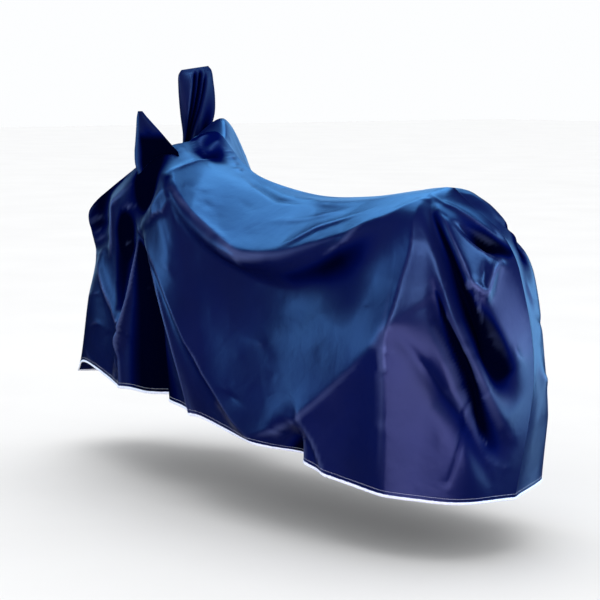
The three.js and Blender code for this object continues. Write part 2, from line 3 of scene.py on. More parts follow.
import bpy
import numpy as np
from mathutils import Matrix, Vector


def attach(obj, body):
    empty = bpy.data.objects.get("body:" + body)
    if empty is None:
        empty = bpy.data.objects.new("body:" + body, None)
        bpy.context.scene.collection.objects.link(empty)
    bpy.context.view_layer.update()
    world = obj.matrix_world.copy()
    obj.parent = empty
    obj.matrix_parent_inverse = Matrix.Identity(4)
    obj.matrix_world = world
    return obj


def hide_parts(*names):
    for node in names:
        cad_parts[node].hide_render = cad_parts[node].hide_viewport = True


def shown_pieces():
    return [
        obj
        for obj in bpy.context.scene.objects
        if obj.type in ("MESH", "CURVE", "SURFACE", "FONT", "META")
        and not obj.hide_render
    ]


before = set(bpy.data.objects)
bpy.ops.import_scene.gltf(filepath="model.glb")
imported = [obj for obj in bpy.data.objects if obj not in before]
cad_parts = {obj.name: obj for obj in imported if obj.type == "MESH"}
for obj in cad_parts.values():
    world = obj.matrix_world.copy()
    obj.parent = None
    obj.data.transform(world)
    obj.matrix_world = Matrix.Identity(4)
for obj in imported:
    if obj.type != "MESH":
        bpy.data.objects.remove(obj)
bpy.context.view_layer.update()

# Driving sizes
ORIGIN = (450.0, -140.0, 893.0)   # the row's origin, where the seat carries the top
MM = 0.001
CLOTH = 1.2                # thickness of the coated cloth with its folded seams
ROWS = 148                 # strips down each panel
COLUMN_BANDS = [           # strips round each panel, front seam to tail seam
    {"up_to": 0.16, "columns": 32},
    {"up_to": 0.36, "columns": 104},
    {"up_to": 0.82, "columns": 76},
    {"up_to": 0.98, "columns": 76},
    {"up_to": 1.00, "columns": 8},
]
STEPS_PER_SPAN = 4         # pieces of a fold's path between two named places
FOLD_REACH = 5.0           # in widths: a fold's lift is nothing beyond it
SEAM_REACH = 0.035         # share of a panel over which its folds die out at the seam
HOLLOW_DEPTH = 30.0        # a fold this deep gets the full painted shade
CREST_START = 0.25         # how sharp a bend begins to get the worn colour, which is wear and a painted highlight
CREST_SPAN = 0.9           # and how much sharper it is where that colour is full
SEAM_GAP = 0.3             # between the two panels along their shared seam
POCKET_SIDES = 120
POCKET_ROWS = 70
POCKET_LENS = 1.3          # above 1 a pocket's section is pinched at its two edges
POCKET_SHADE = 0.45        # a dent this deep gets the full painted shade
POCKET_PAINTED_SHADE = {            # the painted shade on the near face of a pocket with a dark share
    "top": 0.80, "top_fade": 45,     # it ends at this share of the height, over this many millimetres
    "edge": -0.80, "edge_fade": 0.30,  # it begins here across, from -1 to 1, and is full this much on
}
POCKET_CUT = 30            # how far the hole for a pocket reaches below its foot
ROOM_RINGS = 12            # rings of the room that is cut for a pocket
FIT_GAP = 0.3              # between a pocket and the panel round it
PANEL_SHARP = 65           # degrees: a bend sharper than this has an edge
POCKET_SHARP = 50
TINY = 1e-9
EDGING = {"thick": 4.0, "tall": 8.0, "pitch": 3.0, "sides": 10, "over": 2.5}
THREAD_LOOPS = {           # how unevenly the thread lies round the edge, as shares of its size
    "swell": 0.16, "beat": 2.4, "uneven": 0.14, "fuzz": 0.1, "seed": 4,
}
STITCH = {"long": 3.0, "pitch": 4.6, "wide": 0.8, "above": 11.0}
STITCH_SHAPE = [           # sections along a stitch: place, share of its width, height in millimetres
    {"along": 0, "wide": 0.4, "proud": 0.1},
    {"along": 0.2, "wide": 1, "proud": 0.5},
    {"along": 0.8, "wide": 1, "proud": 0.5},
    {"along": 1, "wide": 0.4, "proud": 0.1},
]
CRINKLES = {               # chance creases: where, how far they run, how high and wide they are
    "count": 90, "lowest": (0.02, 0.06), "highest": (0.98, 0.96), "reach": (0.012, 0.05),
    "height": (0.8, 2.4), "wide": (5, 13), "skew": 1.6,
}
# Deep shade is the colour of painted shade; the worn colour is wear and a painted highlight on sharp crests
COLOURS = {
    "navy_dark": (0.0003, 0.0020, 0.030), "navy_light": (0.0006, 0.0034, 0.046),
    "deep_shade": (0.0001, 0.0002, 0.002), "worn_and_highlit": (0.07, 0.09, 0.19), "shine": (0.62, 0.74, 1.0),
    "floor_dark": (0.80, 0.80, 0.80), "floor_light": (0.83, 0.83, 0.83), "backdrop": (0.98, 0.99, 1.0),
}
SHADE_LOOK = {             # what the depth of painted shade, from 0 to 1, does to the cloth
    "darkens_from": 0.55, "most": 0.92, "shine_gone_at": 0.72, "dulls_by": 0.45,
}
# Wear is the share of the worn colour on sharp crests: wear and a painted highlight
CLOTH_LOOK = {
    "rough": (0.26, 0.38), "shine": 0.45, "wear_and_highlight": 0.55, "crease_scale": 9.0, "crease_bend": 0.12,
}
CAMERA = {"place": (3950, -3060, 1190), "turn": 52, "down": 7.2, "lens": 102, "sensor": 36, "far": 200}
FLOOR = {"half": 40, "light": 1.15, "spread": 60}

LIGHTS = [                 # soft boxes that the glossy cloth mirrors
    {"name": "sky", "place": (-2.0, 0.6, 2.4), "target": (0, 0, 0),
     "size": (2.6, 2.4), "power": 110, "colour": (0.14, 0.48, 1.0)},
    {"name": "sky_high", "place": (-0.9, 1.6, 2.4), "target": (-0.4, 0, 0),
     "size": (1.8, 2.2), "power": 40, "colour": (0.14, 0.48, 1.0)},
    {"name": "far_edge", "place": (-2.35, 2.25, 0.7), "target": (-0.7, 0.1, 0.1),
     "size": (1.2, 1.3), "power": 9, "colour": (0.20, 0.52, 1.0)},
    {"name": "front", "place": (-3.6, 0.1, 0.1), "target": (0, 0, -0.2),
     "size": (0.8, 1.2), "power": 4, "colour": (0.30, 0.60, 1.0)},
    {"name": "near_side", "place": (-2.5, -1.8, 0.05), "target": (0, 0, -0.2),
     "size": (1.0, 1.5), "power": 22, "colour": (0.16, 0.46, 1.0)},
    {"name": "left_low", "place": (1.2, -1.15, -0.88), "target": (0.45, -0.2, -0.4),
     "size": (2.0, 1.2), "power": 32, "colour": (0.62, 0.56, 1.0)},
    {"name": "left_high", "place": (1.5, -2.4, 1.2), "target": (0.4, 0, 0),
     "size": (1.0, 1.0), "power": 40, "colour": (0.36, 0.58, 1.0)},
    {"name": "back_high", "place": (2.1, 1.8, 2.2), "target": (0.5, 0, 0),
     "size": (1.8, 1.4), "power": 78, "colour": (0.24, 0.55, 1.0)},
    {"name": "behind", "place": (2.6, 2.3, -0.1), "target": (0.5, 0, -0.3),
     "size": (1.6, 1.4), "power": 42, "colour": (0.42, 0.55, 1.0)},
    {"name": "tail_low", "place": (1.30, 1.05, -0.80), "target": (0.5, 0.05, -0.4),
     "size": (1.3, 0.8), "power": 16, "colour": (0.30, 0.62, 1.0)},
    {"name": "far_side", "place": (0.6, 3.0, 0.0), "target": (0.5, 0, -0.3),
     "size": (1.6, 2.2), "power": 45, "colour": (0.22, 0.56, 1.0)},
]

LEVELS = {"seam": 0, "upper": 0.18, "edge": 0.36, "tuck": 0.48, "belly": 0.72, "hem": 1}
TOP_SEAM = {                # places from the front seam, 0, to the tail seam, 1
    0.00: (-470, -20, 1032),
    0.07: (-430, -5, 1045),
    0.15: (-375, -10, 1048),
    0.23: (-310, -30, 1034),
    0.31: (-225, -60, 1002),
    0.40: (-105, -100, 960),
    0.50: (60, -140, 922),
    0.60: (300, -140, 890),
    0.70: (520, -140, 898),
    0.79: (700, -140, 922),
    0.86: (790, -140, 934),
    0.93: (822, -140, 936),
    1.00: (840, -140, 936),
}
# Sections of the panels: upper, edge, tuck, belly and hem
FRONT_SEAM = ((-560, -140, 925), (-650, -255, 815), (-635, -270, 680), (-742, -246, 460), (-922, -194, 248))
TAIL_SEAM = ((890, -130, 895), (985, -112, 825), (1025, -92, 735), (1042, -55, 480), (975, -45, 155))
LEFT = [                    # one section for each place of the top seam between its ends
    ((-470, -215, 935), (-588, -337, 812), (-578, -322, 682), (-622, -328, 520), (-712, -292, 315)),
    ((-345, -270, 972), (-400, -360, 875), (-435, -350, 720), (-455, -340, 510), (-450, -335, 288)),
    ((-230, -290, 1010), (-190, -400, 935), (-215, -395, 790), (-210, -385, 560), (-190, -375, 290)),
    ((-130, -300, 995), (-35, -420, 940), (-40, -432, 850), (0, -420, 560), (40, -412, 290)),
    ((-30, -270, 935), (75, -412, 835), (90, -400, 745), (130, -400, 520), (180, -395, 258)),
    ((110, -250, 890), (225, -393, 755), (240, -352, 675), (260, -392, 480), (310, -388, 243)),
    ((330, -235, 865), (390, -368, 745), (395, -325, 650), (400, -375, 480), (440, -374, 230)),
    ((530, -230, 880), (545, -338, 785), (560, -315, 690), (580, -360, 500), (580, -358, 200)),
    ((700, -215, 905), (710, -300, 840), (735, -300, 745), (760, -335, 520), (720, -325, 175)),
    ((800, -195, 915), (835, -250, 865), (875, -270, 760), (900, -290, 520), (850, -275, 165)),
    ((845, -180, 905), (925, -220, 840), (985, -225, 735), (1040, -225, 500), (945, -205, 160)),
]
RIGHT = [
    ((-560, -60, 960), (-700, -130, 850), (-760, -150, 690), (-830, -120, 470), (-900, -70, 240)),
    ((-520, 0, 1020), (-640, 20, 930), (-700, 30, 720), (-720, 60, 480), (-740, 90, 240)),
    ((-440, 66, 1082), (-530, 140, 1005), (-560, 170, 820), (-550, 180, 540), (-540, 190, 240)),
    ((-300, 30, 955), (-320, 118, 872), (-330, 160, 740), (-330, 185, 500), (-330, 205, 230)),
    ((-150, -30, 915), (-130, 60, 850), (-140, 110, 720), (-130, 150, 480), (-120, 190, 225)),
    ((60, -60, 890), (60, 25, 820), (60, 85, 700), (70, 140, 460), (80, 190, 220)),
    ((300, -70, 860), (295, 10, 790), (290, 75, 680), (300, 140, 450), (300, 195, 215)),
    ((515, -75, 872), (505, 5, 805), (500, 75, 690), (510, 145, 450), (500, 205, 205)),
    ((715, -85, 918), (690, -15, 830), (695, 65, 700), (720, 150, 450), (700, 215, 195)),
    ((830, -90, 925), (850, -30, 860), (828, 50, 710), (845, 130, 450), (815, 180, 198)),
    ((890, -95, 908), (955, -50, 832), (978, 5, 720), (966, 60, 460), (930, 80, 178)),
]


def fold(path, before, after=None, soft=1.1):
    """A fold, crease or shade on a panel: places (round, down, height) along its path, and its widths.

    Round runs from the front seam to the tail seam, down from the top seam to the hem. A height below 0
    is a hollow, or in a table of shades the depth of painted shade. Where a path runs down, before is the
    side to the front and after the side to the tail; where it runs to the tail, after is the upper side.
    A width is one number, or a pair for the two ends. Without after, both sides are alike. A higher soft
    gives a rounder crest.
    """
    both = [width if isinstance(width, tuple) else (width, width) for width in (before, after or before)]
    return {
        "path": [place[:2] for place in path], "out": [place[2] for place in path],
        "before": both[0], "after": both[1], "soft": soft,
    }


LEFT_FOLDS = {
    "front edge": fold([(0.208, 0.378, 4), (0.181, 0.388, 16), (0.159, 0.397, 24), (0.158, 0.437, 24),
        (0.155, 0.48, 20), (0.145, 0.523, 4)], (26, 20), (22, 18)),
    "front flap": fold([(0.085, 0.52, 4), (0.101, 0.55, 16), (0.134, 0.648, 26), (0.172, 0.765, 20)],
        (12, 14), (60, 40)),
    "front skirt": fold([(0.176, 0.74, 6), (0.173, 0.85, 24), (0.172, 1, 26)],
        (60, 70), (22, 26), soft=1.2),
    "front pleat": fold([(0.225, 0.517, 3), (0.21, 0.625, 16), (0.19, 0.732, 24), (0.176, 0.825, 26),
        (0.171, 0.87, 6)], (6, 15), soft=2),
    "front hollow": fold([(0.24, 0.5, -6), (0.25, 0.68, -44), (0.248, 0.8, -54), (0.24, 1, -58)],
        (32, 52), (27, 52), soft=2),
    "peak crease": fold([(0.334, 0.388, 4), (0.292, 0.478, 18), (0.232, 0.495, 6)], (30, 24), (60, 30)),
    "first peak fold": fold([(0.232, 0.495, 4), (0.263, 0.605, 16), (0.283, 0.7, 24), (0.305, 0.81, 27),
        (0.32, 0.9, 28), (0.333, 1, 28)], (10, 16), (16, 22), soft=1),
    "second peak fold": fold([(0.232, 0.495, 6), (0.276, 0.603, 20), (0.308, 0.68, 30), (0.348, 0.78, 36),
        (0.388, 0.85, 34), (0.47, 0.95, 26), (0.53, 1, 14)], (12, 26), (60, 130), soft=1),
    "deck edge": fold([(0.334, 0.385, 6), (0.389, 0.363, 12), (0.477, 0.357, 18), (0.53, 0.373, 26),
        (0.593, 0.362, 18), (0.661, 0.36, 12), (0.747, 0.362, 8), (0.814, 0.335, 8), (0.874, 0.218, 4)],
        (34, 30), (36, 34)),
    "long slope": fold([(0.826, 0.648, 8), (0.77, 0.747, 22), (0.72, 0.817, 30), (0.666, 0.885, 34),
        (0.598, 0.942, 26), (0.521, 0.985, 14)], (110, 90), (60, 40), soft=1.2),
    "hem hollow": fold([(0.655, 0.9, -8), (0.64, 0.95, -42), (0.63, 1, -54)], (36, 60), (26, 24), soft=2),
    "hollow edge": fold([(0.67, 0.885, 4), (0.69, 0.933, 14), (0.71, 1, 16)], (8, 10), (60, 80)),
    "knee ridge": fold([(0.862, 0.26, 4), (0.85, 0.432, 22), (0.835, 0.542, 34), (0.826, 0.648, 42)],
        (40, 90), (26, 60), soft=1.2),
    "knee to hem": fold([(0.826, 0.648, 10), (0.821, 0.7, 26), (0.818, 0.842, 24), (0.821, 1, 18)],
        (50, 60), (60, 90), soft=1.5),
    "knee groove": fold([(0.835, 0.672, -8), (0.857, 0.732, -16), (0.879, 0.792, -20), (0.906, 0.833, -20),
        (0.932, 0.882, -16), (0.952, 0.922, -12), (0.98, 0.977, -4)], (22, 26), soft=1.6),
    "tail valley two": fold([(0.873, 0.535, -4), (0.879, 0.617, -24), (0.896, 0.69, -38),
        (0.912, 0.75, -44), (0.934, 0.808, -42), (0.962, 0.878, -24), (1, 0.935, 0)],
        (14, 34), (14, 30), soft=2.2),
    "tail valley one": fold([(0.871, 0.222, -2), (0.893, 0.413, -18), (0.906, 0.502, -36),
        (0.919, 0.583, -46), (0.936, 0.663, -46), (0.959, 0.73, -30), (0.984, 0.78, 0)],
        (12, 42), (12, 38), soft=2.2),
    "flap ridge": fold([(0.892, 0.24, 2), (0.916, 0.348, 16), (0.924, 0.45, 24), (0.929, 0.51, 26)],
        (12, 14), (30, 40)),
    "flap foot": fold([(0.926, 0.505, 14), (0.945, 0.528, 20), (0.963, 0.472, 14), (0.985, 0.438, 6)], 12),
    "seam hollow": fold([(0.936, 0.34, -3), (0.956, 0.38, -24), (0.972, 0.41, -34), (0.986, 0.43, -20)],
        (10, 16), soft=2),
    "hem pucker one": fold([(0.965, 0.892, 0), (0.985, 0.915, 8), (0.998, 0.93, 3)], 10, soft=1.3),
    "hem pucker two": fold([(0.958, 0.93, 0), (0.972, 0.96, 8), (0.982, 0.985, 3)], 10, soft=1.3),
    "seam ridge": fold([(0.876, 0.182, 2), (0.947, 0.248, 10), (0.969, 0.327, 15), (0.99, 0.373, 16),
        (1, 0.402, 8)], (8, 10), (16, 22)),
}
RIGHT_FOLDS = {
    "peak ridge": fold([(0.24, 0.2, 4), (0.25, 0.36, 16), (0.25, 0.6, 22), (0.24, 1, 26)],
        (60, 110), soft=1.4),
    "front fold": fold([(0.14, 0.3, 2), (0.13, 0.6, 20), (0.12, 1, 34)], (40, 60), soft=1.5),
    "front valley": fold([(0.19, 0.4, -2), (0.185, 0.7, -26), (0.18, 1, -44)], (40, 60), soft=1.8),
    "side valley": fold([(0.3, 0.4, -2), (0.335, 0.7, -26), (0.35, 1, -44)], (50, 70), soft=1.8),
    "side slope": fold([(0.27, 0.42, 4), (0.36, 0.62, 18), (0.44, 0.82, 24), (0.5, 1, 22)],
        (40, 60), (60, 90), soft=1.3),
    "back slope": fold([(0.84, 0.34, 4), (0.77, 0.56, 20), (0.68, 0.8, 28), (0.62, 1, 24)],
        (60, 90), (50, 60), soft=1.3),
    "tail fold one": fold([(0.86, 0.3, 2), (0.855, 0.55, 18), (0.85, 0.8, 26), (0.845, 1, 26)],
        (30, 50), (40, 60), soft=1.3),
    "tail valley": fold([(0.87, 0.3, -2), (0.885, 0.55, -20), (0.89, 0.8, -30), (0.89, 1, -30)],
        (26, 40), soft=1.7),
    "tail crest": fold([(0.999, 0.66, 6), (0.967, 0.74, 16), (0.94, 0.83, 16), (0.93, 1, 12)],
        (40, 50), (30, 50), soft=1.2),
}
LEFT_CREASES = {
    "tuck": fold([(0.309, 0.353, 2), (0.331, 0.273, 6), (0.347, 0.193, 7), (0.353, 0.125, 6),
        (0.357, 0.075, 2)], 8, 5),
    "crown valley": fold([(0.2, 0.08, -2), (0.262, 0.108, -6), (0.315, 0.126, -7), (0.345, 0.128, -6),
        (0.337, 0.085, -5), (0.325, 0.05, -2)], 26, 16, soft=2),
    "crown ridge one": fold([(0.14, 0.02, 3), (0.205, 0.05, 9), (0.262, 0.086, 9), (0.335, 0.118, 2)],
        14, soft=1.4),
    "crown ridge two": fold([(0.2, 0.1, 2), (0.247, 0.098, 8), (0.3, 0.118, 8), (0.348, 0.14, 1)], 6),
    "crown ridge three": fold([(0.342, 0.118, 2), (0.318, 0.08, 9), (0.285, 0.045, 9), (0.245, 0.012, 2)],
        14, 12, soft=1.4),
    "crown patch": fold([(0.301, 0.268, 0), (0.296, 0.188, 5), (0.272, 0.142, 0)], 9, soft=1.2),
    "gather one": fold([(0.273, 0.022, 0), (0.312, 0.025, 9), (0.335, 0.023, 0)], 4, 5),
    "gather two": fold([(0.323, 0.035, 0), (0.33, 0.02, 9), (0.322, 0, 0)], 4, 5),
    "gather three": fold([(0.357, 0.05, 0), (0.36, 0.032, 9), (0.354, 0.005, 0)], 4, 5),
    "gather four": fold([(0.385, 0.058, 0), (0.389, 0.043, 9), (0.384, 0.013, 0)], 4, 5),
    "gather five": fold([(0.415, 0.075, 0), (0.42, 0.058, 8), (0.415, 0.03, 0)], 4, 5),
    "deck dent one": fold([(0.462, 0.058, 0), (0.519, 0.118, -7), (0.556, 0.162, -9), (0.591, 0.16, -2)],
        9, 12, soft=2),
    "deck dent two": fold([(0.61, 0.14, -2), (0.641, 0.173, -7), (0.679, 0.195, -5), (0.71, 0.198, 0)],
        9, soft=2),
    "deck line one": fold([(0.546, 0.265, 0), (0.583, 0.247, 3), (0.648, 0.24, 5), (0.683, 0.233, 5),
        (0.719, 0.235, 0)], 6, 11),
    "deck line two": fold([(0.617, 0.34, 2), (0.651, 0.317, 6), (0.681, 0.292, 7), (0.721, 0.283, 6),
        (0.76, 0.268, 2)], 7, 18),
    "deck line three": fold([(0.693, 0.407, 1), (0.729, 0.392, 6), (0.755, 0.38, 7), (0.776, 0.348, 1)],
        7, 9),
    "deck rim": fold([(0.349, 0.387, 2), (0.382, 0.363, 4), (0.429, 0.353, 5), (0.477, 0.347, 5),
        (0.512, 0.358, 5), (0.53, 0.37, 2)], 6, 10),
    "deck nick one": fold([(0.383, 0.27, 0), (0.406, 0.25, 3), (0.422, 0.215, 0)], 6, soft=1.2),
    "deck nick two": fold([(0.413, 0.283, 0), (0.432, 0.282, -3), (0.444, 0.29, 0)], 6, soft=1.2),
    "deck nick three": fold([(0.489, 0.213, 0), (0.515, 0.223, -3.5), (0.536, 0.237, 0)], 6, soft=1.2),
    "deck nick four": fold([(0.359, 0.338, 0), (0.374, 0.282, -4), (0.386, 0.25, 0)], 6, soft=1.2),
    "crinkle line": fold([(0.913, 0.783, -1), (0.908, 0.813, -4), (0.913, 0.877, -5), (0.911, 0.922, -5),
        (0.907, 0.958, -4), (0.895, 0.957, -1)], 5, soft=1.4),
    "tail slash one": fold([(0.971, 0.888, 1), (0.988, 0.905, 8), (1, 0.927, 2)], 5, 6),
    "tail slash two": fold([(0.966, 0.917, 1), (0.983, 0.928, 8), (0.999, 0.945, 2)], 5, 6),
    "tail slash three": fold([(0.972, 0.868, 0), (0.987, 0.88, -5), (1, 0.887, 0)], 5, 6, soft=1.3),
    "tail slash four": fold([(0.959, 0.945, 0), (0.972, 0.96, -6), (0.985, 0.982, 0)], 5, 6, soft=1.3),
    "tail nick": fold([(0.941, 0.86, 0), (0.954, 0.877, 6), (0.966, 0.897, 0)], 5),
    "tail patch edge": fold([(0.964, 0.832, 0), (0.975, 0.865, -4), (0.987, 0.893, 0)], 6, soft=1.3),
    "light crest": fold([(0.97, 0.648, 0), (0.977, 0.677, 9), (0.988, 0.7, 4)], 8, 9),
    "flap stitch": fold([(0.899, 0.297, 0), (0.918, 0.318, -4), (0.93, 0.347, 0)], 5, soft=1.3),
    "flap wrinkle one": fold([(0.954, 0.418, 0), (0.969, 0.423, 8), (0.98, 0.443, 2)], 5, 8),
    "flap wrinkle two": fold([(0.957, 0.437, 0), (0.952, 0.472, -7), (0.941, 0.512, -2)], 7, soft=1.4),
    "rim dark": fold([(0.062, 0.417, -2), (0.104, 0.417, -9), (0.147, 0.432, -2)], 9, soft=2),
    "rim light": fold([(0.061, 0.453, 1), (0.113, 0.452, 7), (0.152, 0.455, 1)], 8, 12),
    "rim light two": fold([(0.058, 0.502, 1), (0.114, 0.498, 5), (0.144, 0.49, 1)], 8, 12),
    "patch crease one": fold([(0.057, 0.702, 0), (0.101, 0.673, 4), (0.124, 0.637, 0)], 6),
    "patch crease two": fold([(0.067, 0.857, 0), (0.102, 0.802, 5), (0.128, 0.798, 0)], 7, 9),
    "patch crease three": fold([(0.06, 0.93, 0), (0.083, 0.975, 5), (0.097, 0.993, 2)], 6, 7),
    "patch crease four": fold([(0.112, 0.89, 0), (0.133, 0.83, -5), (0.154, 0.808, 0)], 8, soft=1.3),
    "light edge": fold([(0.164, 0.87, 2), (0.16, 0.918, 7), (0.153, 0.988, 7)], 6, 8),
    "cheek fold": fold([(0.166, 0.413, 1), (0.2, 0.425, 7), (0.237, 0.438, 1)], 6, 9),
    "cheek fold two": fold([(0.172, 0.508, 0), (0.195, 0.512, 6), (0.217, 0.512, 1)], 6, 8),
    "peak facet": fold([(0.236, 0.498, 1), (0.279, 0.508, 6), (0.319, 0.485, 7), (0.338, 0.427, 2)], 7, 14),
    "side crease one": fold([(0.285, 0.608, 0), (0.318, 0.617, 5), (0.337, 0.63, 0)], 9, 12, soft=1.2),
    "side crease two": fold([(0.425, 0.878, 0), (0.475, 0.878, -6), (0.519, 0.887, 0)], 12, soft=1.4),
    "side crease three": fold([(0.505, 0.672, 0), (0.568, 0.688, 5), (0.615, 0.74, 0)], 14, 18, soft=1.3),
    "pleat line two": fold([(0.226, 0.527, 2), (0.213, 0.61, 5), (0.201, 0.703, 6), (0.186, 0.817, 6),
        (0.174, 0.862, 1)], (5, 7)),
}
RIGHT_CREASES = {
    "seam shade": fold([(0.967, 0.307, -2), (0.911, 0.378, -12), (0.959, 0.417, -12), (0.961, 0.455, -2)],
        14, soft=2),
    "bright facet": fold([(0.984, 0.477, 0), (0.983, 0.522, 7), (0.971, 0.557, 3)], 9),
    "dark line": fold([(0.982, 0.573, -2), (0.88, 0.628, -8), (0.858, 0.685, -2)], 8, soft=1.6),
    "light crest two": fold([(0.988, 0.713, 3), (0.963, 0.728, 7), (0.934, 0.747, 2)], 8, 9),
    "side drape one": fold([(0.262, 0.42, 2), (0.3, 0.6, 9), (0.345, 0.8, 13), (0.37, 0.97, 9)],
        (26, 40), (14, 22), soft=1.2),
    "side drape two": fold([(0.27, 0.42, 2), (0.33, 0.55, 8), (0.41, 0.7, 11), (0.5, 0.86, 3)],
        (14, 20), (34, 56), soft=1.2),
    "side drape three": fold([(0.83, 0.36, 2), (0.74, 0.52, 8), (0.63, 0.68, 11), (0.52, 0.83, 2)],
        (34, 56), (14, 20), soft=1.2),
    "right deck edge": fold([(0.33, 0.4, 3), (0.42, 0.36, 9), (0.52, 0.35, 13), (0.63, 0.35, 10),
        (0.74, 0.35, 8), (0.82, 0.32, 3)], 24, 20, soft=1.2),
    "front drape one": fold([(0.2, 0.42, 2), (0.175, 0.6, 10), (0.16, 0.8, 15), (0.155, 0.98, 12)],
        (14, 22), soft=1.2),
    "front drape two": fold([(0.17, 0.36, 2), (0.13, 0.5, 9), (0.095, 0.7, 13), (0.08, 0.95, 10)],
        (14, 24), soft=1.2),
    "front dent": fold([(0.222, 0.45, -2), (0.216, 0.62, -11), (0.21, 0.8, -16), (0.205, 0.97, -13)],
        (16, 26), soft=2),
    "tail drape": fold([(0.83, 0.34, 2), (0.826, 0.5, 9), (0.815, 0.7, 12), (0.81, 0.95, 9)],
        (14, 22), soft=1.2),
    "right hem dent": fold([(0.58, 0.84, -2), (0.59, 0.92, -12), (0.595, 1, -18)], (16, 34), soft=2),
}
# Painted shade: patches where the cloth is made darker and duller, where it lies in the shade of its own
# folds
LEFT_SHADES = {
    "front rim": fold([(0.146, 0.296, -0.9), (0.12, 0.339, -1), (0.108, 0.369, -1), (0.097, 0.405, -0.8)],
        (35, 97), soft=4),
    "cheek": fold([(0.188, 0.504, -0.85), (0.182, 0.565, -1), (0.176, 0.639, -1), (0.175, 0.71, -1)],
        (91, 22), soft=4),
    "under the deck edge": fold([(0.561, 0.415, -0.3), (0.623, 0.433, -0.8), (0.692, 0.437, -0.7),
        (0.761, 0.418, -0.5), (0.819, 0.38, -0.3)], 44, 30, soft=2),
    "between the peak folds": fold([(0.291, 0.662, -0.3), (0.316, 0.782, -0.5), (0.355, 0.907, -0.5),
        (0.427, 0.987, -0.4)], 22, soft=2),
    "below the slope": fold([(0.694, 0.958, -0.8), (0.749, 0.878, -0.6), (0.79, 0.785, -0.4)], 60, soft=2),
    "crown": fold([(0.072, 0.013, -0.8), (0.253, 0.055, -0.8), (0.311, 0.077, -0.8), (0.337, 0.097, -0.8)],
        (64, 54), soft=5),
    "flap face": fold([(0.121, 0.568, -0.6), (0.146, 0.645, -0.7), (0.167, 0.723, -0.6)], 16, soft=2.5),
    "right of the near pocket": fold([(0.316, 0.367, -0.8), (0.322, 0.397, -0.8), (0.331, 0.417, -0.8)],
        12, soft=2.5),
    "front hollow": fold([(0.228, 0.534, -0.9), (0.229, 0.615, -1), (0.232, 0.734, -1), (0.23, 0.855, -1),
        (0.232, 0.974, -1)], (13, 213), soft=4),
    "below the near pocket": fold([(0.254, 0.409, -0.95), (0.216, 0.417, -0.8), (0.197, 0.438, -0.75),
        (0.193, 0.482, -0.9)], (90, 63), soft=3.5),
    "pocket foot": fold([(0.237, 0.282, -1), (0.245, 0.352, -1), (0.253, 0.402, -1)], (79, 80), soft=3.5),
    "below the deck edge": fold([(0.345, 0.41, -0.4), (0.389, 0.39, -0.6), (0.477, 0.385, -0.65),
        (0.53, 0.4, -0.55), (0.6, 0.39, -0.2)], 18, 14, soft=3),
    "beside the flap": fold([(0.896, 0.312, -0.7), (0.905, 0.405, -1), (0.911, 0.47, -1),
        (0.923, 0.54, -0.9)], (12, 16), soft=3),
    "second wedge top": fold([(0.876, 0.549, -0.7), (0.881, 0.603, -0.95), (0.891, 0.659, -1),
        (0.905, 0.715, -0.9)], (6, 18), soft=3),
    "under the tail ridge": fold([(0.955, 0.304, -0.7), (0.968, 0.354, -0.95), (0.98, 0.395, -1),
        (0.994, 0.424, -0.9)], (22, 16), soft=3),
    "side below the seat": fold([(0.744, 0.504, -0.6), (0.752, 0.577, -0.68), (0.756, 0.65, -0.5)],
        (139, 88), (120, 80), soft=2),
    "first wedge low": fold([(0.938, 0.558, -0.6), (0.945, 0.606, -0.85), (0.954, 0.653, -0.85),
        (0.966, 0.703, -0.6)], (20, 30), soft=3),
}
# Painted shade on the right panel
RIGHT_SHADES = {
    "behind the tail ridge": fold([(0.89, 0.32, -0.5), (0.93, 0.345, -0.8), (0.962, 0.395, -0.85),
        (0.969, 0.44, -0.8), (0.971, 0.48, -0.3)], (20, 24), soft=3),
}
# A pocket's folds are dents in its near face, at places across it from -1 to 1. Dark is how much painted
# shade its near face gets
POCKETS = [
    {"name": "bag_left", "node": "pocket_left", "panel": "panel_left",
     "foot": (-176, -362, 922), "turn": 26, "tilt": 0, "dark": 1.0,
     "rows": [
         {"up": 0, "left": -56, "right": 66, "thick": 36},
         {"up": 40, "left": -71, "right": 72, "thick": 42},
         {"up": 76, "left": -73, "right": 74, "thick": 40},
         {"up": 98, "left": -71, "right": 52, "thick": 34},
         {"up": 138, "left": -67, "right": 12, "thick": 26},
         {"up": 176, "left": -64, "right": -28, "thick": 16},
         {"up": 194, "left": -60, "right": -45, "thick": 8},
     ],
     "folds": [
         {"foot": 0.1, "middle": 0.12, "top": 0.1, "deep": 0.5, "wide": 0.62, "fade": 0.55},
     ]},
    {"name": "bag_right", "node": "pocket_right", "panel": "panel_right",
     "foot": (-562, 42, 985), "turn": 90, "tilt": 0.13, "dark": 0.0,
     "rows": [
         {"up": 0, "left": -52, "right": 50, "thick": 40},
         {"up": 50, "left": -50, "right": 54, "thick": 38},
         {"up": 110, "left": -58, "right": 74, "thick": 46},
         {"up": 160, "left": -63, "right": 76, "thick": 46},
         {"up": 210, "left": -66, "right": 70, "thick": 38},
         {"up": 245, "left": -65, "right": 63, "thick": 24},
         {"up": 260, "left": -54, "right": 50, "thick": 9},
     ],
     "folds": [
         {"foot": -0.92, "middle": -0.5, "top": -0.05, "deep": 0.5, "wide": 0.12, "fade": 0.1},
         {"foot": -0.86, "middle": -0.3, "top": 0.28, "deep": 0.6, "wide": 0.12, "fade": 0.1},
         {"foot": -0.78, "middle": -0.08, "top": 0.62, "deep": 0.45, "wide": 0.11, "fade": 0.2},
         {"foot": 0.45, "middle": 0.5, "top": 0.9, "deep": 0.5, "wide": 0.5, "fade": 0.95},
     ]},
]


# Curves and surfaces, worked out as in the part's source

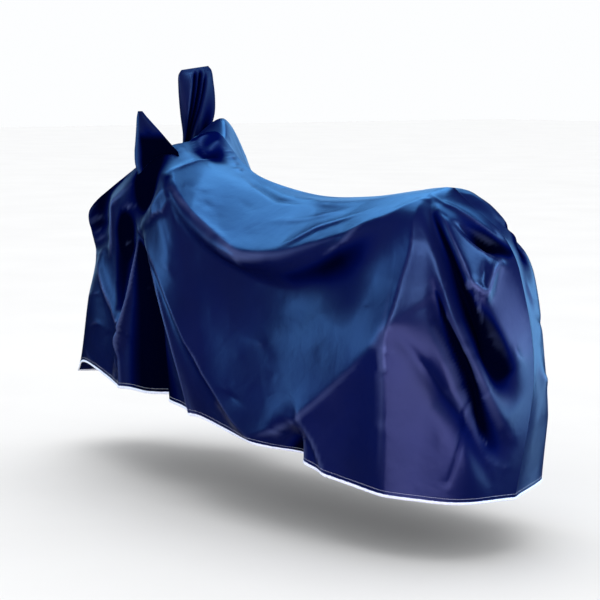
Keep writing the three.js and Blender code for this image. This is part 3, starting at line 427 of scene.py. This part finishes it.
def curve_through(knots, points, places):
    """A smooth curve through points (n, ..., 3) at uneven knots, read at many places."""
    knots = np.asarray(knots, float)
    points = np.asarray(points, float)
    places = np.asarray(places, float)
    last = len(knots) - 1
    before = np.maximum(np.arange(last + 1) - 1, 0)
    after = np.minimum(np.arange(last + 1) + 1, last)
    shape = (-1,) + (1,) * (points.ndim - 1)
    slopes = (points[after] - points[before]) / (knots[after] - knots[before]).reshape(shape)
    i = np.clip(np.searchsorted(knots, places, side="left") - 1, 0, last - 1)
    span = (knots[i + 1] - knots[i]).reshape(shape)
    s = ((places - knots[i]).reshape(shape)) / span
    return (points[i] * (2 * s**3 - 3 * s**2 + 1) + slopes[i] * (s**3 - 2 * s**2 + s) * span
            + points[i + 1] * (3 * s**2 - 2 * s**3) + slopes[i + 1] * (s**3 - s**2) * span)


def base_points(side, rounds, downs):
    """The smooth surface of one side: (rounds, downs, 3)."""
    sections = [FRONT_SEAM, *side, TAIL_SEAM]
    table = [[seam, *row] for seam, row in zip(TOP_SEAM.values(), sections)]
    across = curve_through(list(TOP_SEAM), table, rounds)
    return curve_through(list(LEVELS.values()), across.transpose(1, 0, 2), downs).transpose(1, 0, 2)


def column_places():
    places = [0.0]
    start = 0.0
    for band in COLUMN_BANDS:
        step = (band["up_to"] - start) / band["columns"]
        places += [start + step * (k + 1) for k in range(band["columns"])]
        start = band["up_to"]
    return np.array(places)


def unit(vectors):
    return vectors / np.linalg.norm(vectors, axis=-1, keepdims=True)


def grid_normals(grid, outward):
    along = np.gradient(grid, axis=0)
    down = np.gradient(grid, axis=1)
    return unit(np.cross(along, down) * outward)


def fold_steps(side, row):
    """A fold's path in short steps: places on the surface, heights, and widths on both sides."""
    spans = len(row["path"]) - 1
    count = spans * STEPS_PER_SPAN
    along = np.arange(count + 1) / STEPS_PER_SPAN
    marks = np.arange(spans + 1)
    rounds = np.interp(along, marks, [place[0] for place in row["path"]])
    downs = np.interp(along, marks, [place[1] for place in row["path"]])
    points = np.array([base_points(side, [r], [d])[0, 0] for r, d in zip(rounds, downs)])
    share = along / spans
    return {
        "points": points,
        "out": np.interp(along, marks, row["out"]),
        "before": row["before"][0] + (row["before"][1] - row["before"][0]) * share,
        "after": row["after"][0] + (row["after"][1] - row["after"][0]) * share,
    }


def between(values, k, share):
    return values[k] + (values[k + 1] - values[k]) * share


def fold_lift(row, steps, points, normals, outward):
    """How far a fold lifts each point. Its widths differ on the two sides of its path."""
    reach = FOLD_REACH * max(*row["before"], *row["after"])
    low = steps["points"].min(axis=0) - reach
    high = steps["points"].max(axis=0) + reach
    near = np.all((points > low) & (points < high), axis=1)
    lifts = np.zeros(len(points))
    points = points[near]
    normals = normals[near]
    nearest = np.full(len(points), np.inf)
    lift = np.zeros(len(points))
    for k in range(len(steps["points"]) - 1):
        start = steps["points"][k]
        run = steps["points"][k + 1] - start
        share = np.clip((points - start) @ run / max(run @ run, TINY), 0, 1)
        offset = points - (start + share[:, None] * run)
        distance = np.linalg.norm(offset, axis=1)
        closer = distance < nearest
        side = np.einsum("ij,ij->i", np.cross(run, offset), normals) * outward
        wide = np.where(side < 0, between(steps["after"], k, share), between(steps["before"], k, share))
        height = between(steps["out"], k, share) * np.exp(-((distance / wide) ** row["soft"]))
        lift = np.where(closer, height, lift)
        nearest = np.where(closer, distance, nearest)
    lifts[near] = lift
    return lifts


def smoothstep(values, end):
    t = np.clip(values / end, 0, 1)
    return t * t * (3 - 2 * t)


def seam_hold(rounds, downs):
    """Folds die out at the seams, which pull the cloth flat."""
    at_ends = smoothstep(rounds, SEAM_REACH) * smoothstep(1 - rounds, SEAM_REACH)
    return at_ends[:, None] * smoothstep(downs, SEAM_REACH)


def crinkles(seed):
    """Small chance creases of a coated cloth that was packed away folded."""
    chance = np.random.default_rng(seed)
    rows = []
    for k in range(CRINKLES["count"]):
        middle = chance.uniform(CRINKLES["lowest"], CRINKLES["highest"])
        turn = chance.uniform(0, math.pi)
        reach = chance.uniform(*CRINKLES["reach"])
        step = np.array((math.cos(turn) * reach / 2, math.sin(turn) * reach))
        height = chance.uniform(*CRINKLES["height"]) * chance.choice((-1, 1))
        wide = chance.uniform(*CRINKLES["wide"])
        path = [(*(middle - step), 0), (*middle, height), (*(middle + step), 0)]
        rows.append(fold(path, wide, wide * CRINKLES["skew"]))
    return rows


def softened(lift):
    """Rounds the creases by one step of the grid, as the stiff coating does."""
    lift = np.pad(lift, 1, mode="edge")
    lift = (lift[:-2] + 2 * lift[1:-1] + lift[2:]) / 4
    return (lift[:, :-2] + 2 * lift[:, 1:-1] + lift[:, 2:]) / 4


def panel_sheet(side, folds, shades, outward):
    """A panel's outer grid, how deep in painted shade each of its points lies, and where it gets wear with
    a painted highlight.
    """
    rounds = column_places()
    downs = np.arange(ROWS + 1) / ROWS
    base = base_points(side, rounds, downs)
    normals = grid_normals(base, outward)
    flat_points = base.reshape(-1, 3)
    flat_normals = normals.reshape(-1, 3)
    lift = np.zeros(len(flat_points))
    for row in folds:
        lift += fold_lift(row, fold_steps(side, row), flat_points, flat_normals, outward)
    # painted shade from the tables of shades
    shade = np.zeros(len(flat_points))
    for row in shades:
        shade -= fold_lift(row, fold_steps(side, row), flat_points, flat_normals, outward)
    lift = softened(lift.reshape(len(rounds), len(downs)) * seam_hold(rounds, downs))
    outer = base + normals * lift[..., None]
    # painted shade, deeper still in the hollows of the folds
    hollow = np.clip(shade.reshape(lift.shape) - lift / HOLLOW_DEPTH, 0, 1)
    return {"outer": outer, "hollow": hollow, "crest": crests(outer, normals),
            "outward": outward}


def crests(outer, normals):
    """Where the cloth is bent sharply outwards: how far a point stands above its neighbours."""
    # this places the worn colour, wear with a painted highlight, along the crests
    around = (outer[2:, 1:-1] + outer[:-2, 1:-1] + outer[1:-1, 2:] + outer[1:-1, :-2]) / 4
    proud = ((outer[1:-1, 1:-1] - around) * normals[1:-1, 1:-1]).sum(axis=2)
    return np.pad(np.clip((proud - CREST_START) / CREST_SPAN, 0, 1), 1)


def join_at_seam(left, right):
    """Both panels share their seam: a common normal there, and half the gap on each side of it."""
    for sheet in (left, right):
        sheet["normals"] = grid_normals(sheet["outer"], sheet["outward"])
    for line in (np.s_[1:-1, 0], np.s_[0, 1:], np.s_[-1, 1:]):
        common = unit(left["normals"][line] + right["normals"][line])
        left["normals"][line] = common
        right["normals"][line] = common
    for corner, beside in ((0, 1), (-1, -2)):
        left["normals"][corner, 0] = right["normals"][corner, 0] = left["normals"][beside, 0]
    for sheet in (left, right):
        on_seam = np.zeros(sheet["outer"].shape[:2], bool)
        on_seam[:, 0] = on_seam[0, :] = on_seam[-1, :] = True
        sheet["outer"][on_seam] += (0, sheet["outward"] * SEAM_GAP / 2, 0)
        sheet["inner"] = sheet["outer"] - sheet["normals"] * CLOTH


# Meshes

def to_frame(points):
    return (np.asarray(points, float).reshape(-1, 3) - ORIGIN) * MM


def new_piece(name, points, faces, material):
    mesh = bpy.data.meshes.new(name)
    mesh.from_pydata(to_frame(points).tolist(), [], faces)
    mesh.validate()
    mesh.shade_smooth()
    mesh.materials.append(material)
    piece = bpy.data.objects.new(name, mesh)
    bpy.context.scene.collection.objects.link(piece)
    return piece


def set_values(piece, name, values):
    """Lays one number on each point of a piece, for its material to read."""
    piece.data.attributes.new(name, "FLOAT", "POINT").data.foreach_set("value", values)


def sheet_faces(columns, rows, outward):
    """Faces of a closed sheet between an outer grid and an inner one of the same size."""
    width = rows + 1
    count = (columns + 1) * width
    i, j = np.meshgrid(np.arange(columns), np.arange(rows), indexing="ij")
    a = (i * width + j).ravel()
    outer = np.stack([a, a + width, a + width + 1, a + 1], axis=1)
    inner = outer[:, ::-1] + count
    across = np.arange(columns) * width
    top = np.stack([across, across + count, across + width + count, across + width], axis=1)
    hem = np.stack([across, across + width, across + width + count, across + count], axis=1) + rows
    down = np.arange(rows)
    front = np.stack([down, down + 1, down + 1 + count, down + count], axis=1)
    tail = front[:, ::-1] + columns * width
    faces = np.concatenate([outer, inner, top, hem, front, tail])
    return (faces if outward > 0 else faces[:, ::-1]).tolist()


def panel_piece(name, sheet, material):
    columns, rows = np.subtract(sheet["outer"].shape[:2], 1)
    points = np.concatenate([sheet["outer"].reshape(-1, 3), sheet["inner"].reshape(-1, 3)])
    piece = new_piece(name, points, sheet_faces(columns, rows, sheet["outward"]), material)
    # painted shade and painted highlight with wear, for the cloth material to read
    for key in ("hollow", "crest"):
        set_values(piece, key, np.tile(sheet[key].ravel(), 2))
    piece.data.set_sharp_from_angle(angle=math.radians(PANEL_SHARP))
    return piece


def ring_faces(rings, sides, loop=False):
    faces = []
    for r in range(rings if loop else rings - 1):
        here = r * sides
        after = ((r + 1) % rings) * sides
        for k in range(sides):
            beside = (k + 1) % sides
            faces.append((here + k, here + beside, after + beside, after + k))
    if not loop:
        faces.append(tuple(range(sides))[::-1])
        faces.append(tuple((rings - 1) * sides + k for k in range(sides)))
    return faces


def pocket_dent(pocket, up, across):
    """How deep the near face of a pocket is dented, as a share of the half thickness."""
    height = pocket["rows"][-1]["up"]
    deepest = np.zeros_like(across)
    for row in pocket["folds"]:
        lines = [[row[key], 0, 0] for key in ("foot", "middle", "top")]
        line = curve_through([0, height / 2, height], lines, [max(up, 0)])[0, 0]
        fade = smoothstep(height - up, height * row["fade"])
        deep = row["deep"] * fade * np.exp(-(((across - line) / row["wide"]) ** 2))
        deepest = np.maximum(deepest, deep)
    return deepest


def pocket_shade(pocket, up, across, dent):
    """How deep in painted shade the near face of a pocket lies: in its dents, below its top and behind its
    front edge.
    """
    top = pocket["rows"][-1]["up"] * POCKET_PAINTED_SHADE["top"]
    below_top = smoothstep(top - up, POCKET_PAINTED_SHADE["top_fade"])
    behind_edge = smoothstep(across - POCKET_PAINTED_SHADE["edge"], POCKET_PAINTED_SHADE["edge_fade"])
    return np.maximum(dent / POCKET_SHADE, pocket["dark"] * below_top * behind_edge)


def pocket_ring(pocket, up, grow):
    """One ring of a pocket, grown by a margin, and how deep in painted shade each of its points lies."""
    knots = [row["up"] for row in pocket["rows"]]
    sizes = [[row["left"], row["right"], row["thick"]] for row in pocket["rows"]]
    left, right, thick = curve_through(knots, sizes, [max(up, 0)])[0]
    turn = math.radians(pocket["turn"])
    across = np.array((math.cos(turn), math.sin(turn), pocket["tilt"] * max(up, 0) / knots[-1]))
    through = np.array((-math.sin(turn), math.cos(turn), 0))
    angle = 2 * math.pi * np.arange(POCKET_SIDES) / POCKET_SIDES
    bulge = np.sign(np.sin(angle)) * np.abs(np.sin(angle)) ** POCKET_LENS
    dent = np.where(bulge < 0, pocket_dent(pocket, up, np.cos(angle)), 0)
    shade = np.where(bulge < 0, pocket_shade(pocket, up, np.cos(angle), dent), 0)
    half_width = (right - left) / 2 + grow
    out = (thick / 2 + grow - dent * thick / 2) * bulge
    aside = (left + right) / 2 + half_width * np.cos(angle)
    foot = np.array(pocket["foot"])
    return foot + np.outer(aside, across) + np.outer(out, through) + np.array((0, 0, up)), shade


def pocket_piece(pocket, material):
    height = pocket["rows"][-1]["up"]
    inside = [pocket_ring(pocket, up, -CLOTH) for up in np.linspace(height - CLOTH, 0, POCKET_ROWS + 1)]
    outside = [pocket_ring(pocket, up, 0) for up in np.linspace(0, height, POCKET_ROWS + 1)]
    rings, shades = zip(*inside, *outside)
    faces = ring_faces(len(rings), POCKET_SIDES)
    piece = new_piece(pocket["name"], np.concatenate(rings), faces, material)
    # painted shade on the pocket, for the cloth material to read
    set_values(piece, "hollow", np.clip(np.concatenate(shades), 0, 1))
    piece.data.set_sharp_from_angle(angle=math.radians(POCKET_SHARP))
    return piece


def cut_pocket_room(panel, pocket, material):
    """Cuts the room of a pocket out of its panel."""
    height = pocket["rows"][-1]["up"]
    ups = np.linspace(-POCKET_CUT, height, ROOM_RINGS)
    points = np.concatenate([pocket_ring(pocket, up, FIT_GAP)[0] for up in ups])
    room = new_piece("room", points, ring_faces(ROOM_RINGS, POCKET_SIDES), material)
    cut = panel.modifiers.new("cut", "BOOLEAN")
    cut.operation = "DIFFERENCE"
    cut.solver = "EXACT"
    cut.object = room
    apply_modifiers(panel)
    bpy.data.objects.remove(room)


def apply_modifiers(piece):
    shown = piece.evaluated_get(bpy.context.evaluated_depsgraph_get())
    mesh = bpy.data.meshes.new_from_object(shown)
    piece.modifiers.clear()
    piece.data = mesh


# The hem

def hem_line(left, right):
    """Points on the hem all the way round, with the outward normals and the way down the cloth."""
    lines = []
    for sheet, order in ((left, np.s_[:-1]), (right, np.s_[:0:-1])):
        outer = sheet["outer"][order]
        inner = sheet["inner"][order]
        normals = sheet["normals"][order][:, -1]
        down = outer[:, -1] - outer[:, -3]
        lines.append(np.concatenate([(outer[:, -1] + inner[:, -1]) / 2, normals, down], axis=1))
    line = np.concatenate(lines)
    line = np.concatenate([line, line[:1]])
    length = np.concatenate([[0], np.cumsum(np.linalg.norm(np.diff(line[:, :3], axis=0), axis=1))])
    return length, line


def along_hem(hem, places):
    length, line = hem
    read = np.stack([np.interp(places, length, line[:, k]) for k in range(9)], axis=1)
    return read[:, :3], unit(read[:, 3:6]), unit(read[:, 6:9])


def edging_piece(hem, material):
    """The overlocked edge: a fuzzy roll of thread that wraps the raw edge of the cloth."""
    chance = np.random.default_rng(THREAD_LOOPS["seed"])
    count = int(hem[0][-1] / EDGING["pitch"])
    points, normals, down = along_hem(hem, np.linspace(0, hem[0][-1], count, endpoint=False))
    sides = EDGING["sides"]
    angle = 2 * math.pi * np.arange(sides) / sides
    swell = THREAD_LOOPS["swell"] * np.sin(np.arange(count) * THREAD_LOOPS["beat"])
    loops = 1 + swell + chance.uniform(-THREAD_LOOPS["uneven"], THREAD_LOOPS["uneven"], count)
    fuzz = loops[:, None] + chance.uniform(-THREAD_LOOPS["fuzz"], THREAD_LOOPS["fuzz"], (count, sides))
    out = fuzz * np.cos(angle) * EDGING["thick"] / 2
    below = EDGING["tall"] / 2 - EDGING["over"] + fuzz * np.sin(angle) * EDGING["tall"] / 2
    rings = points[:, None] + normals[:, None] * out[..., None] + down[:, None] * below[..., None]
    return new_piece("overlocked_edge", rings, ring_faces(count, sides, loop=True), material)


def stitch_piece(hem, material):
    """The row of stitches above the edge, each a small raised dash on the outer face."""
    count = int(hem[0][-1] / STITCH["pitch"])
    starts = np.linspace(0, hem[0][-1], count, endpoint=False)
    points = []
    faces = []
    half = STITCH["wide"] / 2
    for part in STITCH_SHAPE:
        centre, normals, down = along_hem(hem, starts + part["along"] * STITCH["long"])
        row = centre - down * STITCH["above"] + normals * (CLOTH / 2)
        aside = down * half * part["wide"]
        points.append(np.stack([row - aside, row + normals * part["proud"], row + aside], axis=1))
    for k in range(len(STITCH_SHAPE) - 1):
        here = (k * count + np.arange(count)) * 3
        after = here + count * 3
        for a, b in ((0, 1), (1, 2)):
            faces += np.stack([here + a, here + b, after + b, after + a], axis=1).tolist()
    return new_piece("hem_stitches", np.concatenate(points), faces, material)


# Materials

class Nodes:
    """Short calls that add and link shader nodes."""

    def __init__(self, name):
        self.material = bpy.data.materials.new(name)
        self.material.use_nodes = True
        self.tree = self.material.node_tree
        self.shader = self.tree.nodes["Principled BSDF"]
        self.place = self.tree.nodes.new("ShaderNodeTexCoord").outputs["Object"]

    def add(self, kind, inputs=(), **settings):
        node = self.tree.nodes.new(kind)
        for key, value in settings.items():
            setattr(node, key, value)
        for key, value in dict(inputs).items():
            if isinstance(value, bpy.types.NodeSocket):
                self.tree.links.new(value, node.inputs[key])
            else:
                node.inputs[key].default_value = value
        return node

    def noise(self, scale, detail=3.0, output="Fac"):
        inputs = {"Vector": self.place, "Scale": scale, "Detail": detail}
        return self.add("ShaderNodeTexNoise", inputs).outputs[output]

    def ramp(self, value, stops):
        node = self.add("ShaderNodeValToRGB", {"Fac": value})
        elements = node.color_ramp.elements
        while len(elements) < len(stops):
            elements.new(0.5)
        for element, (position, colour) in zip(elements, stops):
            element.position = position
            element.color = (*colour, 1)
        return node.outputs["Color"]

    def spread(self, value, low, high, start=0.0, end=1.0):
        inputs = {"Value": value, "From Min": start, "From Max": end, "To Min": low, "To Max": high}
        return self.add("ShaderNodeMapRange", inputs).outputs["Result"]

    def mix(self, share, first, second):
        node = self.add("ShaderNodeMixRGB", {"Fac": share, "Color1": first, "Color2": (*second, 1)})
        return node.outputs["Color"]

    def maths(self, operation, *values):
        return self.add("ShaderNodeMath", enumerate(values), operation=operation).outputs[0]

    def bump(self, height, distance, strength, onto=None):
        inputs = {"Height": height, "Distance": distance, "Strength": strength}
        if onto is not None:
            inputs["Normal"] = onto
        return self.add("ShaderNodeBump", inputs).outputs["Normal"]

    def link(self, output, name):
        self.tree.links.new(output, self.shader.inputs[name])


def cloth_material():
    """Coated navy taffeta: a smooth shine, faint packing creases and a very fine weave."""
    nodes = Nodes("coated_taffeta")
    # hollow carries the painted shade, crest the wear and painted highlight on sharp crests
    hollow = nodes.add("ShaderNodeAttribute", attribute_name="hollow").outputs["Fac"]
    crest = nodes.add("ShaderNodeAttribute", attribute_name="crest").outputs["Fac"]
    stops = [(0.3, COLOURS["navy_dark"]), (0.7, COLOURS["navy_light"])]
    navy = nodes.ramp(nodes.noise(scale=3.0), stops)
    # painted shade: the colour darkens towards the deep shade colour
    shaded = nodes.spread(hollow, 0.0, SHADE_LOOK["most"], start=SHADE_LOOK["darkens_from"])
    deep = nodes.mix(shaded, navy, COLOURS["deep_shade"])
    # wear and painted highlight: the worn colour on sharp crests
    wear_and_highlight = nodes.spread(crest, 0.0, CLOTH_LOOK["wear_and_highlight"])
    nodes.link(nodes.mix(wear_and_highlight, deep, COLOURS["worn_and_highlit"]), "Base Color")
    rough = nodes.spread(nodes.noise(scale=7.0), *CLOTH_LOOK["rough"])
    # painted shade also makes the cloth rougher and takes its shine away
    dull = nodes.maths("MULTIPLY_ADD", hollow, SHADE_LOOK["dulls_by"], rough)
    nodes.link(dull, "Roughness")
    lit = nodes.spread(hollow, 1.0, 0.0, end=SHADE_LOOK["shine_gone_at"])
    squared = nodes.maths("POWER", lit, 2.0)
    nodes.link(nodes.spread(squared, 0.0, CLOTH_LOOK["shine"]), "Specular IOR Level")
    bent = nodes.noise(scale=3.0, detail=2.0, output="Color")
    share = {"Fac": CLOTH_LOOK["crease_bend"], "Color1": nodes.place, "Color2": bent}
    moved = nodes.add("ShaderNodeMixRGB", share).outputs["Color"]
    cells = {"Vector": moved, "Scale": CLOTH_LOOK["crease_scale"]}
    creases = nodes.add("ShaderNodeTexVoronoi", cells, feature="DISTANCE_TO_EDGE").outputs["Distance"]
    packed = nodes.bump(creases, distance=0.004, strength=0.35)
    soft = nodes.bump(nodes.noise(scale=14.0, detail=4.0), distance=0.004, strength=0.35, onto=packed)
    fine = nodes.noise(scale=700.0, detail=1.0)
    nodes.link(nodes.bump(fine, distance=0.0002, strength=0.25, onto=soft), "Normal")
    nodes.shader.inputs["Specular Tint"].default_value = (*COLOURS["shine"], 1)
    return nodes.material


def thread_material(name, shade):
    """White sewing thread, matt and a little uneven."""
    nodes = Nodes(name)
    light = (shade, shade, shade)
    dull = (shade * 0.62, shade * 0.64, shade * 0.72)
    uneven = nodes.noise(scale=420.0, detail=4.0)
    nodes.link(nodes.ramp(uneven, [(0.32, dull), (0.62, light)]), "Base Color")
    nodes.shader.inputs["Roughness"].default_value = 0.85
    twist = nodes.noise(scale=900.0, detail=2.0)
    nodes.link(nodes.bump(twist, distance=0.0006, strength=0.8), "Normal")
    return nodes.material


def floor_material():
    nodes = Nodes("pale_floor")
    stops = [(0.3, COLOURS["floor_dark"]), (0.7, COLOURS["floor_light"])]
    nodes.link(nodes.ramp(nodes.noise(scale=1.5, detail=5.0), stops), "Base Color")
    nodes.shader.inputs["Roughness"].default_value = 0.7
    return nodes.material


# The studio

def add_floor():
    half = FLOOR["half"]
    ground = -ORIGIN[2] * MM
    corners = [(x * half, y * half, ground) for x, y in ((-1, -1), (1, -1), (1, 1), (-1, 1))]
    mesh = bpy.data.meshes.new("floor")
    mesh.from_pydata(corners, [], [(0, 1, 2, 3)])
    mesh.materials.append(floor_material())
    floor = bpy.data.objects.new("floor", mesh)
    bpy.context.scene.collection.objects.link(floor)
    floor.visible_glossy = False
    return floor


def add_light(name, place, target, size, power, colour, only):
    lamp = bpy.data.lights.new(name, "AREA")
    lamp.shape = "RECTANGLE"
    lamp.size, lamp.size_y = size
    lamp.energy = power
    lamp.color = colour
    light = bpy.data.objects.new(name, lamp)
    light.location = place
    aim = Vector(target) - Vector(place)
    light.rotation_euler = aim.to_track_quat("-Z", "Y").to_euler()
    bpy.context.scene.collection.objects.link(light)
    light.light_linking.receiver_collection = only
    light.visible_camera = False


def group_of(name, things):
    group = bpy.data.collections.new(name)
    for thing in things:
        group.objects.link(thing)
    return group


def add_floor_light(only):
    """Even light from straight above that brings the floor to the brightness of the backdrop."""
    lamp = bpy.data.lights.new("floor_light", "SUN")
    lamp.energy = FLOOR["light"]
    lamp.angle = math.radians(FLOOR["spread"])
    light = bpy.data.objects.new("floor_light", lamp)
    bpy.context.scene.collection.objects.link(light)
    light.light_linking.receiver_collection = only


def add_world():
    """A plain pale backdrop, which lights the scene evenly and isn't mirrored in the cloth."""
    world = bpy.data.worlds.new("studio")
    world.use_nodes = True
    background = world.node_tree.nodes["Background"]
    background.inputs["Color"].default_value = (*COLOURS["backdrop"], 1)
    background.inputs["Strength"].default_value = 1.0
    bpy.context.scene.world = world
    world.cycles_visibility.glossy = False


def add_camera():
    """The photo's view: from the left and behind, just above the cover."""
    lens = bpy.data.cameras.new("camera")
    lens.sensor_width = CAMERA["sensor"]
    lens.lens = CAMERA["lens"]
    lens.clip_end = CAMERA["far"]
    camera = bpy.data.objects.new("camera", lens)
    camera.location = to_frame(CAMERA["place"])[0]
    camera.rotation_euler = (math.radians(90 - CAMERA["down"]), 0, math.radians(CAMERA["turn"]))
    bpy.context.scene.collection.objects.link(camera)
    bpy.context.scene.camera = camera


cloth = cloth_material()
edge_thread = thread_material("edge_thread", 0.86)
stitch_thread = thread_material("stitch_thread", 0.70)

left_folds = [*LEFT_FOLDS.values(), *LEFT_CREASES.values(), *crinkles(seed=1)]
right_folds = [*RIGHT_FOLDS.values(), *RIGHT_CREASES.values(), *crinkles(seed=2)]
left = panel_sheet(LEFT, left_folds, LEFT_SHADES.values(), outward=-1)
right = panel_sheet(RIGHT, right_folds, RIGHT_SHADES.values(), outward=1)
join_at_seam(left, right)
panels = {
    "panel_left": panel_piece("cloth_left", left, cloth),
    "panel_right": panel_piece("cloth_right", right, cloth),
}
pockets = {}
for pocket in POCKETS:
    cut_pocket_room(panels[pocket["panel"]], pocket, cloth)
    pockets[pocket["node"]] = pocket_piece(pocket, cloth)
hem = hem_line(left, right)
edging = edging_piece(hem, edge_thread)
stitches = stitch_piece(hem, stitch_thread)

for node, piece in [*panels.items(), *pockets.items(), ("hem_edging", edging)]:
    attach(piece, "root")
    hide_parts(node)
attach(stitches, "root")

cover = group_of("cover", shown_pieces())
floor = add_floor()
add_world()
add_floor_light(only=group_of("ground", [floor]))
for light in LIGHTS:
    add_light(**light, only=cover)
add_camera()
bpy.context.scene.view_settings.view_transform = "Standard"
